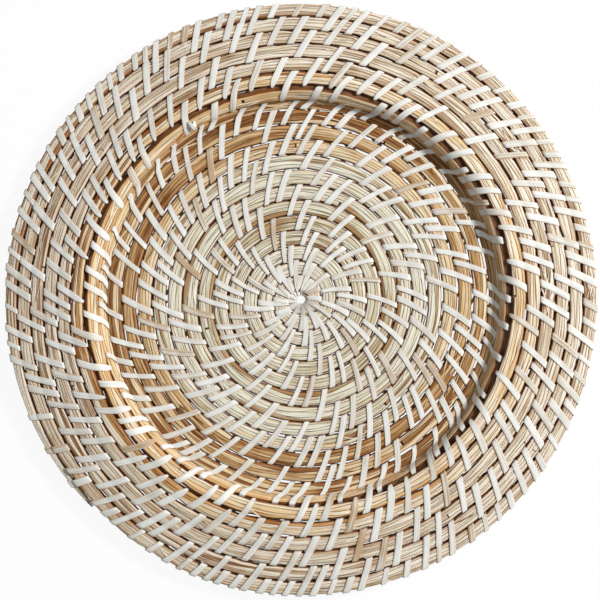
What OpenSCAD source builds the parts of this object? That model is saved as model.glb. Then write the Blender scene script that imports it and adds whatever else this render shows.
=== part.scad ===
// Coiled rattan charger plate. One bundle of split cane winds outward from a small
// centre hole, across a flat floor, up a short wall and over a falling rim. Flat strips
// of peeled cane lace each turn to the turn inside it. Millimetres, +Z up, standing on z = 0.

/* [Coil] */
// Radius of the hole at the centre, to the middle of the strips that line it
hole_r = 2.8; // [2.6:0.1:5]
// Width of the bundle in the floor
coil_w = 7.3; // [6:0.1:9]
// Thickness of the bundle
coil_h = 5.6; // [4.5:0.1:6.5]

/* [Wall and rim] */
// Steepest slope of the wall, in degrees
wall_angle = 74; // [50:1:76]
// Radius of the bends at the foot and at the top of the wall
wall_bend_r = 6.4; // [6:0.1:10]
// Width of the rim, measured down its slope
rim_w = 48.2; // [42:0.2:60]
// Fall of the rim towards the edge, in degrees
rim_fall = 8; // [0:1:10]

/* [Lacing] */
// Width of a strip in the floor
strip_w = 3.3; // [2.5:0.1:3.6]
// Width of a strip in the wall and rim
rim_strip_w = 3.8; // [2.5:0.1:4]
// Thickness of a strip
strip_t = 0.4; // [0.3:0.05:0.7]
// Lean of a strip from the radius, in degrees
strip_lean = 28; // [14:1:30]
// Wraps in the first turn
centre_wraps = 12; // [9:1:13]
// Most wraps in a turn of the floor
floor_wraps = 22; // [16:1:24]
// Wraps in the first turn of the wall and rim
rim_wraps = 36; // [28:1:38]

/* [Fit] */
// Space between a strip and the bundle under it
strip_seat = 0.2; // [0.1:0.05:0.3]
// Space on each side of a strip where it stands between two turns
leg_space = 0.35; // [0.3:0.05:0.5]

/* [Hidden] */

// Cross sections of the bundle in one turn
rings = 32;
ring_angle = 360 / rings;
// Turns from the centre to the foot of the wall, in the wall, and in the rim
floor_turns = 12.4;
wall_turns = 1.6;
rim_turns = 6;
// The tapered start of the bundle, in turns
start_turn = 0.375;
// The tapered end of the bundle: where it starts to narrow and where it is gone
narrow_share = 0.5;
gone_share = 0.6875;
// The last cross section before it, still as wide as a tip
last_share = 0.625;
// Where the last long wrap is laid; from there the wraps hold one turn only
long_share = 0.56;
// The bundle's flat top and bottom, as a share of its width
flat_share = 0.5;
// Least width of a tapered end, and the width below which it also gets thinner
tip_w = 1.2;
thin_share = 0.6;
// Largest share of the distance between wraps that a strip's width and lean take up
width_share = 0.25;
lean_share = 0.45;
// Least space between the sides of two strips in the floor, and on the wall and rim
side_space = 0.3;
wall_side_space = 1;
// Turns where the wraps start and where those of the rim start
first_wrap = 1;
rim_from = 14;
// Wraps added in each turn near the centre and in the rim
centre_growth = 2;
rim_growth = 2;
// How many turns a wrap reaches, and how near in angle two wraps can meet
reach = 2.3;
near_share = 0.2;
// Where a wrap lies in the space between two wraps of the turn inside, in the floor and in
// the rim, and where two lie in it, as shares of that space
middle_share = 0.62;
rim_share = 0.7;
first_share = 0.3;
second_share = 0.7;
// Two go in when this many are owed and the space is this wide
owed_for_two = 1.5;
wide_share = 0.9;
// Where there is no room, other places are tried this far to each side
try_shares = [0, 0.05, -0.05, 0.1, -0.1, 0.15, -0.15, 0.2];
// How much of that closing-in a strip keeps clear of
ease_share = 1.5;
// Straight runs of a strip bend by more than this many degrees
least_bend = 0.6;

// Distance between turns, and the space where a strip stands between them
coil_gap = strip_t + 2 * leg_space;
pitch = coil_w + coil_gap;
// Height of the middle of the bundle over the table in the floor
strip_offset = coil_h / 2 + strip_seat + strip_t / 2;
mid_z = strip_offset + strip_t / 2;

// The plate's section is one line through the middle of the bundle: flat, a hollow
// bend, a round bend, then the falling rim. Lengths along it start at the hole.
foot_s = floor_turns * pitch;
turn_s = foot_s + wall_bend_r * wall_angle * PI / 180;
top_s = turn_s + wall_bend_r * (wall_angle + rim_fall) * PI / 180;
rim_turn = 1 + floor_turns + wall_turns;
rim_s = (rim_turn - 1) * pitch;
edge_s = rim_s + rim_w;
end_turn = round(rim_turn + rim_turns);

// Slope of the section in degrees at a length along it
function slope(s) =
    s < foot_s ? 0
    : s < turn_s ? (s - foot_s) / wall_bend_r * 180 / PI
    : s < top_s ? wall_angle - (s - turn_s) / wall_bend_r * 180 / PI
    : -rim_fall;

foot_r = hole_r + foot_s;
turn_r = foot_r + wall_bend_r * sin(wall_angle);
turn_z = mid_z + wall_bend_r * (1 - cos(wall_angle));
top_r = turn_r + wall_bend_r * (sin(wall_angle) + sin(rim_fall));
top_z = turn_z + wall_bend_r * (cos(rim_fall) - cos(wall_angle));

// Radius and height of the section at a length along it
function place(s) =
    s < foot_s ? [hole_r + s, mid_z]
    : s < turn_s ? [foot_r + wall_bend_r * sin(slope(s)), mid_z + wall_bend_r * (1 - cos(slope(s)))]
    : s < top_s ? [turn_r + wall_bend_r * (sin(wall_angle) - sin(slope(s))),
        turn_z + wall_bend_r * (cos(slope(s)) - cos(wall_angle))]
    : [top_r + (s - top_s) * cos(rim_fall), top_z - (s - top_s) * sin(rim_fall)];

// A place beside the section: along its slope by a, and square to it by b
function beside(s, a, b) =
    place(s) + a * [cos(slope(s)), sin(slope(s))] + b * [-sin(slope(s)), cos(slope(s))];

// Everything is placed by the turn t, which counts on from one round to the next, so
// t and t + 1 lie side by side at one angle.
function share(t) = t - floor(t);

// The turn that would touch the plate's edge at this angle. It falls back by one where
// the bundle ends, so the turns of the rim widen there and the edge stays round.
function edge_turn(f) =
    f < narrow_share ? end_turn + f
    : f > gone_share ? end_turn - 1 + f
    : end_turn + narrow_share
        + (gone_share - 1 - narrow_share) * (f - narrow_share) / (gone_share - narrow_share);

// Length along the section of the gap on the inner side of turn t
function gap_s(t) =
    t <= 1 ? 0
    : t <= rim_turn ? (t - 1) * pitch
    : min(edge_s, rim_s + (t - rim_turn) * rim_w / (edge_turn(share(t)) - rim_turn));

// Middle and width of the bundle at turn t
function coil_s(t) = (gap_s(t) + gap_s(t + 1)) / 2;
function width(t) = max(tip_w, gap_s(t + 1) - gap_s(t) - coil_gap);
function height(t) = coil_h * min(1, width(t) / (thin_share * coil_w));

// The bundle is straight between its rings, so places between them lie closer in
function facet(t) = cos(ring_angle / 2) / cos(ring_angle * (share(t * rings) - 1 / 2));

// One ring of the bundle: six corners, counted around it
function ring_section(t) = let (w = width(t) / 2, h = height(t) / 2, f = w * flat_share)
    [[w, 0], [f, h], [-f, h], [-w, 0], [-f, -h], [f, -h]];
function ring(t) = [for (p = ring_section(t))
    let (q = beside(coil_s(t), p[0], p[1])) [q[0] * cos(360 * t), q[0] * sin(360 * t), q[1]]];

// A length of the bundle from ring a to ring b, one closed tube
sides = 6;
module bundle(a, b) {
    n = b - a;
    points = [for (k = [a:b]) each ring(k / rings)];
    faces = concat(
        [[for (i = [0:sides - 1]) i]],
        [[for (i = [sides - 1:-1:0]) n * sides + i]],
        [for (k = [0:n - 1], i = [0:sides - 1])
            let (j = (i + 1) % sides) [k * sides + i, (k + 1) * sides + i, k * sides + j]],
        [for (k = [0:n - 1], i = [0:sides - 1])
            let (j = (i + 1) % sides)
            [(k + 1) * sides + i, (k + 1) * sides + j, k * sides + j]]);
    polyhedron(points, faces, convexity = 8);
}
function ring_at(t) = round(t * rings);

// Turns at which one length of cane ends and the next is spliced in
splices = [start_turn, 4.1, 7.62, 9.81, 11.9, 13.6, 14.8, 15.9, 17, 18.1, 19.3,
    end_turn - 1 + last_share];
module length_of_cane(i) {
    bundle(ring_at(splices[i]), ring_at(splices[i + 1]));
}

// Wraps in a full turn near turn t
function wraps_near(t) =
    t < rim_from ? min(floor_wraps, centre_wraps + centre_growth * (t - 1))
    : rim_wraps + rim_growth * (t - rim_from);
// Distance between wraps at turn t, at the radius of that turn
function spacing(t) = 2 * PI * place(gap_s(t))[0] / wraps_near(t);
// Sideways run of a strip between its two ends, in turns
function run(t) =
    min(2 * pitch * tan(strip_lean), lean_share * spacing(t)) / (2 * PI * place(gap_s(t))[0]);
// Width of a strip along the coil at its outer and inner ends. It narrows at the centre.
function outer_w(t) =
    min((t < rim_from ? strip_w : rim_strip_w) / cos(strip_lean), width_share * spacing(t));
function inner_w(t) = min(outer_w(t), width_share * spacing(max(1, t - 1)));

// A wrap holds two turns, but only one after the last turn has been laced to its neighbour
last_turn = end_turn - 1 + long_share;
function holds_two(t) = t < last_turn;
// The outer and inner ends of the wrap at turn t: turn and length along the section
function outer_end(t) = holds_two(t) ? [t, gap_s(t + 1)] : [t + run(t) / 2, gap_s(t + run(t) / 2)];
function inner_end(t) = [t + run(t), gap_s(t + run(t) - 1)];

// One wrap: its turn, its two ends on the section laid out flat, and its mean width
function flat(e) = (hole_r + e[1]) * [cos(360 * e[0]), sin(360 * e[0])];
function wrap_at(t) = [t, flat(outer_end(t)), flat(inner_end(t)), (outer_w(t) + inner_w(t)) / 2];
function from_line(p, a, b) =
    let (d = b - a) norm(p - a - max(0, min(1, (p - a) * d / (d * d))) * d);
function side(p, a, b) = cross(b - a, p - a);
function crosses(v, w) =
    side(v[1], w[1], w[2]) * side(v[2], w[1], w[2]) < 0
    && side(w[1], v[1], v[2]) * side(w[2], v[1], v[2]) < 0;
function apart(v, w) = crosses(v, w) ? 0
    : min(from_line(v[1], w[1], w[2]), from_line(v[2], w[1], w[2]),
        from_line(w[1], v[1], v[2]), from_line(w[2], v[1], v[2]));
function from_whole(d) = abs(d - round(d));
function space_near(t) = t < rim_from ? side_space : wall_side_space;
function has_room(w, laid) = len([for (v = laid)
    if (w[0] - v[0] < reach && from_whole(w[0] - v[0]) < near_share
        && apart(v, w) < (v[3] + w[3]) / 2 + space_near(w[0])) v]) == 0;

// One more wrap at a share of the space that starts at turn t, if one of its places has room
function lay(laid, t, step, at, i = 0) =
    i == len(try_shares) ? laid
    : let (w = wrap_at(t + (at + try_shares[i]) * step - run(t) / 2))
        w[0] > laid[len(laid) - 1][0] && has_room(w, laid) ? concat(laid, [w])
        : lay(laid, t, step, at, i + 1);

// The wraps of the first turn stand at even steps. Each space between two of them then
// takes a wrap of the next turn, or two, and so on out to the edge.
function lay_on(laid, k = 0, owed = 0) =
    laid[k + 1][0] + 1 >= end_turn + narrow_share ? laid
    : let (t = laid[k][0] + 1, step = laid[k + 1][0] - laid[k][0],
        due = owed + step * wraps_near(t),
        two = due > owed_for_two && step * wraps_near(t) > wide_share,
        more = two ? lay(lay(laid, t, step, first_share), t, step, second_share)
            : lay(laid, t, step, t < rim_from ? middle_share : rim_share))
        lay_on(more, k + 1, due - len(more) + len(laid));
first_round = [for (k = [0:centre_wraps - 1]) wrap_at(first_wrap + k / centre_wraps)];
all_wraps = [for (w = lay_on(first_round)) w[0]];

// A place at turn t, seen across the strip: sideways distance from the strip's middle
// angle, and distance outwards along it
function across(t, mid, r) = facet(t) * r * [cos(360 * (t - mid)), sin(360 * (t - mid))];

// On a slope the straight facets of the bundle come closer to the sides of a strip
function ease(s) = rim_strip_w / 2 * tan(ring_angle / 2) * ease_share * abs(sin(slope(s)));

// Corners of the strip's path over a bundle at turn t, on the side given by up
function over(t, mid, up, out) =
    let (q = beside(coil_s(t), out * width(t) / 2 * flat_share,
            up * (height(t) / 2 + strip_seat + strip_t / 2 + ease(coil_s(t)))))
    [across(t, mid, q[0])[0], q[1]];
function leg_end(t, s, mid, up) =
    let (q = beside(s, 0, up * (strip_offset + ease(s)))) [across(t, mid, q[0])[0], q[1]];

// The closed path of the wrap at turn t in its own plane, and the turn it faces
function facing(t) = (outer_end(t)[0] + inner_end(t)[0]) / 2;
function wrap_path(t) =
    let (mid = facing(t), a = run(t), o = outer_end(t), e = inner_end(t), both = holds_two(t),
        outer = t + a / 4,
        inner = t + 3 / 4 * a - 1,
        has_inner = inner > start_turn)
    concat(
        [leg_end(o[0], o[1], mid, -1), leg_end(o[0], o[1], mid, 1)],
        both ? [over(outer, mid, 1, 1), over(outer, mid, 1, -1)] : [],
        has_inner ? [over(inner, mid, 1, 1), over(inner, mid, 1, -1)] : [],
        [leg_end(e[0], e[1], mid, 1), leg_end(e[0], e[1], mid, -1)],
        has_inner ? [over(inner, mid, -1, -1), over(inner, mid, -1, 1)] : [],
        both ? [over(outer, mid, -1, -1), over(outer, mid, -1, 1)] : []);

function bearing(v) = atan2(v[1], v[0]);
function bend(a, b, c) = let (d = bearing(c - b) - bearing(b - a))
    d > 180 ? d - 360 : d < -180 ? d + 360 : d;
function around(list, i) = list[(i + len(list)) % len(list)];
// The path without corners that lie on a straight run
function bends(path) = [for (i = [0:len(path) - 1])
    if (abs(bend(around(path, i - 1), path[i], around(path, i + 1))) > least_bend) path[i]];
// The path moved sideways by d, with mitred corners
function moved(path, d) = [for (i = [0:len(path) - 1])
    let (u = path[i] - around(path, i - 1), v = around(path, i + 1) - path[i],
        m = u / norm(u) + v / norm(v), n = m / norm(m))
    path[i] + d / cos(bend(around(path, i - 1), path[i], around(path, i + 1)) / 2)
        * [-n[1], n[0]]];

// One wrap: a band cut from its path's profile by the strip's outline seen from above
module wrap(t) {
    mid = facing(t);
    path = bends(wrap_path(t));
    out_end = across(outer_end(t)[0], mid, place(outer_end(t)[1])[0]);
    in_end = across(inner_end(t)[0], mid, place(inner_end(t)[1])[0]);
    lean = (out_end[1] - in_end[1]) / (out_end[0] - in_end[0]);
    out_w = outer_w(t) / 2;
    in_w = inner_w(t) / 2;
    widen = (out_w - in_w) / (out_end[0] - in_end[0]);
    x0 = min([for (p = path) p[0]]) - strip_t;
    x1 = max([for (p = path) p[0]]) + strip_t;
    y0 = in_end[1] + (x0 - in_end[0]) * lean;
    y1 = in_end[1] + (x1 - in_end[0]) * lean;
    w0 = in_w + (x0 - in_end[0]) * widen;
    w1 = in_w + (x1 - in_end[0]) * widen;
    deep = abs(y1 - y0) + 2 * w1;
    rotate([0, 0, 360 * mid])
        intersection() {
            linear_extrude(top_z + coil_h + strip_t)
                polygon([[x0, y0 - w0], [x1, y1 - w1], [x1, y1 + w1], [x0, y0 + w0]]);
            translate([0, (y0 + y1) / 2 + deep, 0])
                rotate([90, 0, 0])
                    linear_extrude(2 * deep)
                        difference() {
                            polygon(moved(path, -strip_t / 2));
                            polygon(moved(path, strip_t / 2));
                        }
        }
}

// The wraps whose outer ends lie from one turn up to another
module lacing(from, to) {
    color("gainsboro")
        for (t = all_wraps)
            if (t >= from && t < to) wrap(t);
}

module core_centre() { color("wheat") length_of_cane(0); }
module core_floor_inner() { color("tan") length_of_cane(1); }
module core_floor_middle() { color("wheat") length_of_cane(2); }
module core_floor_outer() { color("burlywood") length_of_cane(3); }
module core_wall_foot() { color("tan") length_of_cane(4); }
module core_wall() { color("burlywood") length_of_cane(5); }
module core_crest() { color("wheat") length_of_cane(6); }
module core_rim_inner() { color("tan") length_of_cane(7); }
module core_rim_middle() { color("wheat") length_of_cane(8); }
module core_rim_outer() { color("tan") length_of_cane(9); }
module core_edge() { color("wheat") length_of_cane(10); }

module lacing_turn_01() { lacing(0, 2); }
module lacing_turn_02() { lacing(2, 3); }
module lacing_turn_03() { lacing(3, 4); }
module lacing_turn_04() { lacing(4, 5); }
module lacing_turn_05() { lacing(5, 6); }
module lacing_turn_06() { lacing(6, 7); }
module lacing_turn_07() { lacing(7, 8); }
module lacing_turn_08() { lacing(8, 9); }
module lacing_turn_09() { lacing(9, 10); }
module lacing_turn_10() { lacing(10, 11); }
module lacing_turn_11() { lacing(11, 12); }
module lacing_turn_12() { lacing(12, 13); }
module lacing_turn_13() { lacing(13, 14); }
module lacing_turn_14() { lacing(14, 15); }
module lacing_turn_15() { lacing(15, 16); }
module lacing_turn_16() { lacing(16, 17); }
module lacing_turn_17() { lacing(17, 18); }
module lacing_turn_18() { lacing(18, 19); }
module lacing_turn_19() { lacing(19, 20); }
module lacing_turn_20() { lacing(20, last_turn); }

// Short wraps around the last turn alone, between the long ones
module edge_wraps() { lacing(last_turn, end_turn + 1); }

// Least space between each length of cane and the turn beside it, measured on its rings
function neighbour_gap(a, b) = min([for (k = [a:b], p = ring(k / rings), q = ring(k / rings + 1))
    norm(p - q)]);
whole_turns = ring_at(end_turn - 2 + last_share);
echo(least_gap_to_itself = neighbour_gap(ring_at(start_turn), whole_turns));
echo(plate_diameter = 2 * (place(edge_s)[0] + strip_t / 2 + strip_offset * sin(rim_fall)));
echo(wraps = len(all_wraps));

core_centre();
core_floor_inner();
core_floor_middle();
core_floor_outer();
core_wall_foot();
core_wall();
core_crest();
core_rim_inner();
core_rim_middle();
core_rim_outer();
core_edge();
lacing_turn_01();
lacing_turn_02();
lacing_turn_03();
lacing_turn_04();
lacing_turn_05();
lacing_turn_06();
lacing_turn_07();
lacing_turn_08();
lacing_turn_09();
lacing_turn_10();
lacing_turn_11();
lacing_turn_12();
lacing_turn_13();
lacing_turn_14();
lacing_turn_15();
lacing_turn_16();
lacing_turn_17();
lacing_turn_18();
lacing_turn_19();
lacing_turn_20();
edge_wraps();
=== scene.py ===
"""Charger plate of coiled rattan: bundles of split cane wound as one spiral and laced with flat strips.

Metres, +Z up, standing on z = 0. The solids give the place of every coil and strip; this file
makes the separate splints of each bundle, the strips that lace them, their finishes and the light.
"""

import math
import random

import bpy
import numpy as np
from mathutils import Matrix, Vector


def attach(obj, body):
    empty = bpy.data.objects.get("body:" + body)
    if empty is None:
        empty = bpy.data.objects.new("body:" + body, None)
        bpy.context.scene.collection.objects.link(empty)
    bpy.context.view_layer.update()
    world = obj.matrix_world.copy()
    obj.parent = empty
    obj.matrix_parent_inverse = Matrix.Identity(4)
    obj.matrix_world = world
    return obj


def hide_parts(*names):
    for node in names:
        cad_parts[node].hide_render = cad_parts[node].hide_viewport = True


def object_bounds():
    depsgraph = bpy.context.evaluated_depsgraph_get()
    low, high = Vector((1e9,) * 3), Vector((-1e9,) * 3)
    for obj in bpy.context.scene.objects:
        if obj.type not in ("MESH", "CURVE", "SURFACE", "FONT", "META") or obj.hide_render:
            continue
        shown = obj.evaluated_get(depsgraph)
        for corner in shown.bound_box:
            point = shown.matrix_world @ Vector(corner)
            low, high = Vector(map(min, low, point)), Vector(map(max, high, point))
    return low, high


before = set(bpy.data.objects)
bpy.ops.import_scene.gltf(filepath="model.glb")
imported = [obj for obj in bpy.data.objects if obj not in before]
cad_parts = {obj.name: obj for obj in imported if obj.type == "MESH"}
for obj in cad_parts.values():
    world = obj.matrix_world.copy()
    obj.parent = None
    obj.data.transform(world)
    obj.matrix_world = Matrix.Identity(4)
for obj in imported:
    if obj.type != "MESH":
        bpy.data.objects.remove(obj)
cad_box = [list(corner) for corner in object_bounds()]
bpy.ops.object.select_all(action="DESELECT")

MM = 0.001

# The coil: radius of the hole, width and thickness of the bundle, space between two turns
HOLE_R = 2.8 * MM
COIL_W = 7.3 * MM
COIL_H = 5.6 * MM
COIL_GAP = 1.1 * MM
PITCH = COIL_W + COIL_GAP
# Height of the bundle's middle in the floor: half a coil, the space under a strip and the strip
MID_Z = 3.4 * MM

# The section: flat floor, hollow bend, round bend, falling rim
WALL_ANGLE = math.radians(74)
BEND_R = 6.4 * MM
RIM_W = 48.2 * MM
RIM_FALL = math.radians(8)
FLOOR_TURNS = 12.4
WALL_TURNS = 1.6
RIM_TURNS = 6
RIM_TURN = 1 + FLOOR_TURNS + WALL_TURNS
END_TURN = round(RIM_TURN + RIM_TURNS)
FOOT_S = FLOOR_TURNS * PITCH
TURN_S = FOOT_S + BEND_R * WALL_ANGLE
TOP_S = TURN_S + BEND_R * (WALL_ANGLE + RIM_FALL)
RIM_S = (RIM_TURN - 1) * PITCH
EDGE_S = RIM_S + RIM_W
FOOT_R = HOLE_R + FOOT_S
TURN_R = FOOT_R + BEND_R * math.sin(WALL_ANGLE)
TURN_Z = MID_Z + BEND_R * (1 - math.cos(WALL_ANGLE))
TOP_R = TURN_R + BEND_R * (math.sin(WALL_ANGLE) + math.sin(RIM_FALL))
TOP_Z = TURN_Z + BEND_R * (math.cos(RIM_FALL) - math.cos(WALL_ANGLE))

# The bundle's tapered ends, in turns and shares of a turn
START_TURN = 0.375
NARROW_SHARE = 0.5
GONE_SHARE = 0.6875
LAST_SHARE = 0.625
# Least width of a tapered end, and the share of the full width below which it also gets thinner
TIP_W = 1.2 * MM
THIN_SHARE = 0.6

# The lacing: widths in the floor and in the rim, thickness, lean from the radius
STRIP_W = 3.3 * MM
RIM_STRIP_W = 3.8 * MM
STRIP_T = 0.45 * MM
STRIP_LEAN = math.radians(28)
# Wraps in a turn: the first, the most in the floor, the first of the rim, and how they grow
CENTRE_WRAPS = 12
FLOOR_WRAPS = 22
RIM_WRAPS = 36
CENTRE_GROWTH = 2
RIM_GROWTH = 2
FIRST_WRAP = 1
RIM_FROM = 14
# Largest share of the distance between wraps that a strip's width and its lean take up
WIDTH_SHARE = 0.25
LEAN_SHARE = 0.45
# From here on the wraps hold one turn only
LONG_SHARE = 0.56
LAST_TURN = END_TURN - 1 + LONG_SHARE
# Least space between two strips, how many turns a wrap reaches, and how near two can meet
SIDE_SPACE = 0.3 * MM
WALL_SIDE_SPACE = 1 * MM
REACH = 2.3
NEAR_SHARE = 0.2
# Where a new wrap lies in the space between two wraps of the turn inside, as shares of that
# space, how many wraps are owed before it takes two, and how wide it is then
MIDDLE_SHARE = 0.62
RIM_SHARE = 0.7
FIRST_SHARE = 0.3
SECOND_SHARE = 0.7
OWED_FOR_TWO = 1.5
WIDE_SHARE = 0.9
TRY_SHARES = [0, 0.05, -0.05, 0.1, -0.1, 0.15, -0.15, 0.2]

# The lengths of the core: node, the turn where it gives way to the next, finish, and how much
# browner (above 0) or paler its splints are than that finish has them
LENGTHS = [
    ("core_centre", 4.1, "cane_cream", 0),
    ("core_floor_inner", 7.62, "cane_cream", -0.03),
    ("core_floor_middle", 9.81, "cane_cream", 0),
    ("core_floor_outer", 11.9, "cane_tan", 0),
    ("core_wall_foot", 13.6, "cane_tan", 0.05),
    ("core_wall", 14.8, "cane_golden", 0.1),
    ("core_crest", 15.9, "cane_golden", -0.15),
    ("core_rim_inner", 17, "cane_greige", -0.02),
    ("core_rim_middle", 18.1, "cane_greige", -0.02),
    ("core_rim_outer", 19.3, "cane_greige", 0),
    ("core_edge", END_TURN - 1 + LAST_SHARE, "cane_greige", 0.03),
]
# Stretches of browner cane (above 0) and of paler cane: from and to in turns, and by how much.
# The browner ones from 12.8 to 13.4 turns, on the right near the wall's shadow, are partly painted
# shade and partly the cane's own tone; the paler one from 13.75 to 14.25 turns is partly painted
# light on the wall's shaded side there and partly the cane's own paler tone.
STRETCHES = [
    (2, 3.5, -0.12), (4.1, 4.3, 0.3), (5.15, 5.45, 0.32), (5.85, 6, 0.2),
    (7.45, 8.1, -0.1), (8.8, 9, 0.25), (9.8, 9.95, 0.35), (9.97, 10.2, -0.16),
    (10.95, 11.2, -0.18), (11.4, 11.8, 0.25), (11.92, 12.17, -0.18), (12.17, 12.35, 0.28),
    (12.8, 12.93, 0.3), (12.93, 13.12, -0.15), (13.12, 13.4, 0.3), (13.75, 14.25, -0.3),
]
STRETCH_BLEND = 0.04
# Where splices have frayed, in turns, half the length of a fray, and how many of those it reaches
FRAYS = [4.1, 7.62, 9.81, 10.94, 11.9, 13.25, 17, 18.1]
FRAY_LENGTH = 8 * MM
FRAY_REACH = 1.4
# Painted shade that stands for the gaps between a fray's splints, and the shares of it that one splint can
# have
FRAY_PAINTED_SHADE = 0.75
FRAY_SHARES = (0, 0.4, 1)
# Loose fibres at a fray, and where they start, in half lengths
FRAY_FIBRES = 10
FRAY_SPREAD = (-1.6, 0.6)


# Section and spiral

def slope(s):
    """Slope of the section at a length along it, in radians."""
    hollow = (s - FOOT_S) / BEND_R
    rounded = WALL_ANGLE - (s - TURN_S) / BEND_R
    return np.select([s < FOOT_S, s < TURN_S, s < TOP_S], [0 * s, hollow, rounded], -RIM_FALL)


def beside(s, a, b):
    """Radius and height beside the section: along its slope by a and square to it by b."""
    s = np.asarray(s, float)
    lean = slope(s)
    fall = s - TOP_S
    zones = [s < FOOT_S, s < TURN_S, s < TOP_S]
    radii = [
        HOLE_R + s,
        FOOT_R + BEND_R * np.sin(lean),
        TURN_R + BEND_R * (math.sin(WALL_ANGLE) - np.sin(lean)),
    ]
    heights = [
        MID_Z + 0 * s,
        MID_Z + BEND_R * (1 - np.cos(lean)),
        TURN_Z + BEND_R * (np.cos(lean) - math.cos(WALL_ANGLE)),
    ]
    r = np.select(zones, radii, TOP_R + fall * math.cos(RIM_FALL))
    z = np.select(zones, heights, TOP_Z - fall * math.sin(RIM_FALL))
    return r + a * np.cos(lean) - b * np.sin(lean), z + a * np.sin(lean) + b * np.cos(lean)


def edge_turn(f):
    """The turn that would touch the edge at this share of a round; it falls back where the coil ends."""
    back = (GONE_SHARE - 1 - NARROW_SHARE) * (f - NARROW_SHARE) / (GONE_SHARE - NARROW_SHARE)
    ahead = [END_TURN + f, END_TURN - 1 + f]
    return np.select([f < NARROW_SHARE, f > GONE_SHARE], ahead, END_TURN + NARROW_SHARE + back)


def gap_s(t):
    """Length along the section of the gap on the inner side of turn t."""
    t = np.asarray(t, float)
    flat = np.maximum(t - 1, 0) * PITCH
    widened = RIM_S + (t - RIM_TURN) * RIM_W / (edge_turn(t - np.floor(t)) - RIM_TURN)
    return np.where(t <= RIM_TURN, flat, np.minimum(EDGE_S, widened))


def coil_s(t):
    """Length along the section of the middle of the bundle at turn t."""
    return (gap_s(t) + gap_s(t + 1)) / 2


def coil_radius(t):
    return beside(coil_s(t), 0, 0)[0]


def coil_width(t):
    return np.maximum(TIP_W, gap_s(t + 1) - gap_s(t) - COIL_GAP)


def coil_height(t):
    return COIL_H * np.minimum(1, coil_width(t) / (THIN_SHARE * COIL_W))


def turn_length(t):
    """Length once round the plate along the gap on the inner side of turn t."""
    return 2 * math.pi * float(beside(gap_s(t), 0, 0)[0])


def in_space(angle, r, z):
    return np.stack([r * np.cos(angle), r * np.sin(angle), z], axis=-1)


def limited(value):
    return min(1, max(0, value))


# Where the strips lie

def wraps_near(t):
    """Wraps in a full turn near turn t: more in each turn near the centre, and again in the rim."""
    if t < RIM_FROM:
        return min(FLOOR_WRAPS, CENTRE_WRAPS + CENTRE_GROWTH * (t - 1))
    return RIM_WRAPS + RIM_GROWTH * (t - RIM_FROM)


def spacing(t):
    return turn_length(t) / wraps_near(t)


def run(t):
    """Sideways run of a strip between its two ends, in turns."""
    sideways = min(2 * PITCH * math.tan(STRIP_LEAN), LEAN_SHARE * spacing(t))
    return sideways / turn_length(t)


def outer_w(t):
    """Width of a strip along the coil at its outer end. It narrows at the centre."""
    full = STRIP_W if t < RIM_FROM else RIM_STRIP_W
    return min(full / math.cos(STRIP_LEAN), WIDTH_SHARE * spacing(t))


def inner_w(t):
    return min(outer_w(t), WIDTH_SHARE * spacing(max(1, t - 1)))


class Wrap:
    """One wrap of the lacing at turn t: where its ends are and how wide it is."""

    def __init__(self, t):
        self.t = t
        self.run = run(t)
        self.two = t < LAST_TURN
        self.width = (outer_w(t) + inner_w(t)) / 2
        self.start = t if self.two else t + self.run / 2
        self.end = t + self.run
        self.outer = self.flat(self.start, float(gap_s(t + 1 if self.two else self.start)))
        self.inner = self.flat(self.end, float(gap_s(self.end - 1)))

    @staticmethod
    def flat(turn, s):
        """A place on the section laid out flat."""
        angle = 2 * math.pi * turn
        return np.array([math.cos(angle), math.sin(angle)]) * (HOLE_R + s)


def from_line(p, a, b):
    """Distance of a point from the line between two others."""
    d = b - a
    along = min(1, max(0, float((p - a) @ d / (d @ d))))
    return float(np.linalg.norm(p - a - along * d))


def side(p, a, b):
    """Above 0 where a point lies to the left of a line, and below 0 to its right."""
    return (b[0] - a[0]) * (p[1] - a[1]) - (b[1] - a[1]) * (p[0] - a[0])


def apart(v, w):
    """Distance between two wraps laid out flat, 0 where they cross."""
    crossing = side(v.outer, w.outer, w.inner) * side(v.inner, w.outer, w.inner) < 0
    if crossing and side(w.outer, v.outer, v.inner) * side(w.inner, v.outer, v.inner) < 0:
        return 0
    return min(from_line(v.outer, w.outer, w.inner), from_line(v.inner, w.outer, w.inner),
               from_line(w.outer, v.outer, v.inner), from_line(w.inner, v.outer, v.inner))


def has_room(w, laid):
    """Whether a wrap keeps clear of those laid so far."""
    space = SIDE_SPACE if w.t < RIM_FROM else WALL_SIDE_SPACE
    for v in reversed(laid):
        d = w.t - v.t
        if d >= REACH:
            return True
        if abs(d - round(d)) < NEAR_SHARE and apart(v, w) < (v.width + w.width) / 2 + space:
            return False
    return True


def lay_between(laid, t, step, share):
    """A wrap whose inner half lies at that share of the space; it moves a little if it has no room."""
    for change in TRY_SHARES:
        wrap = Wrap(t + (share + change) * step - run(t) / 2)
        if wrap.t > laid[-1].t and has_room(wrap, laid):
            laid.append(wrap)
            return


def lay_wraps():
    """Each space between two wraps of the turn inside takes one more, or two where it is wide."""
    laid = [Wrap(FIRST_WRAP + k / CENTRE_WRAPS) for k in range(CENTRE_WRAPS)]
    k = 0
    owed = 0
    while laid[k + 1].t < END_TURN + NARROW_SHARE - 1:
        t = laid[k].t + 1
        step = laid[k + 1].t - laid[k].t
        owed += step * wraps_near(t)
        before = len(laid)
        if owed > OWED_FOR_TWO and step * wraps_near(t) > WIDE_SHARE:
            lay_between(laid, t, step, FIRST_SHARE)
            lay_between(laid, t, step, SECOND_SHARE)
        else:
            lay_between(laid, t, step, MIDDLE_SHARE if t < RIM_FROM else RIM_SHARE)
        owed -= len(laid) - before
        k += 1
    return laid


WRAPS = lay_wraps()

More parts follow.
